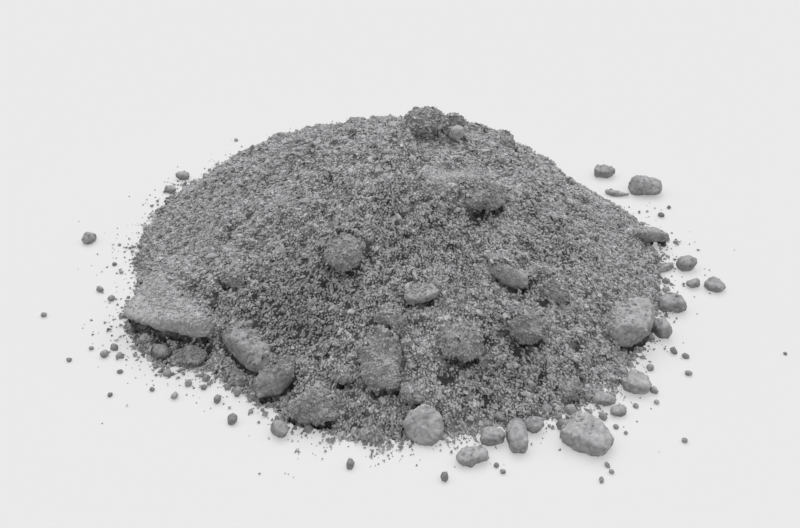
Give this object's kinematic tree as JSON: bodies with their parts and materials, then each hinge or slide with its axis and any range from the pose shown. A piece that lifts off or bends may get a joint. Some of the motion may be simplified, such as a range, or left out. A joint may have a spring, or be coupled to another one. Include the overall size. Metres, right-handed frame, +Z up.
{
  "type": "heap of dry refractory castable",
  "caption": "Low round heap of grey dry refractory castable: loose fines with dusty rounded lumps set in its slopes and lying round its foot.",
  "frame": {"origin": "middle of the mound's round foot, on the level surface the heap lies on", "axes": "+Z up, from the foot to the crest; -Y towards the viewer of the picture; +X to the viewer's right"},
  "size_m": [0.2774, 0.2503, 0.0647],
  "materials": {
    "fines": "matt loose powder and grains",
    "lumps": "matt, dusted with fines"
  },
  "bodies": {
    "root": {"powder_mound": "fines", "left_slab": "lumps", "egg_stone": "lumps", "crevice_block": "lumps", "peaked_stone": "lumps", "overhang_clod": "lumps", "overhang_sliver": "lumps", "leaning_block": "lumps", "round_stone": "lumps", "low_clod": "lumps", "shelf_stone": "lumps", "finger_stone": "lumps", "ridge_stone": "lumps", "wedge_stone": "lumps", "middle_clod": "lumps", "right_clod": "lumps", "broad_clod": "lumps", "right_boulder": "lumps", "boulder_side_stone": "lumps", "boulder_side_chip": "lumps", "right_rim_clod": "lumps", "right_rim_chip": "lumps", "right_rim_crumb": "lumps", "front_stone": "lumps", "front_pebble": "lumps", "front_rim_stone": "lumps", "front_rim_finger": "lumps", "front_rim_clod": "lumps", "front_slope_clod": "lumps", "left_front_pebble": "lumps", "foot_clod": "lumps", "left_rim_clod": "lumps", "left_rim_chip": "lumps", "egg_side_clod": "lumps", "slab_side_clod": "lumps", "peaked_side_clod": "lumps", "peak_clod": "lumps", "crest_clod": "lumps", "crest_chip": "lumps", "shoulder_clod": "lumps", "far_right_pebble": "lumps", "far_right_stone": "lumps", "far_right_sliver": "lumps", "right_rod": "lumps", "right_pebble": "lumps", "right_sliver": "lumps", "right_crumb": "lumps", "right_outer_pebble": "lumps", "left_outer_pebble": "lumps", "far_left_pebble": "lumps", "far_left_crumb": "lumps", "back_slope_stone": "lumps", "back_slope_clod": "lumps", "back_left_clod": "lumps", "back_rim_stone": "lumps", "back_rim_clod": "lumps", "back_right_clod": "lumps"}
  },
  "joints": []
}
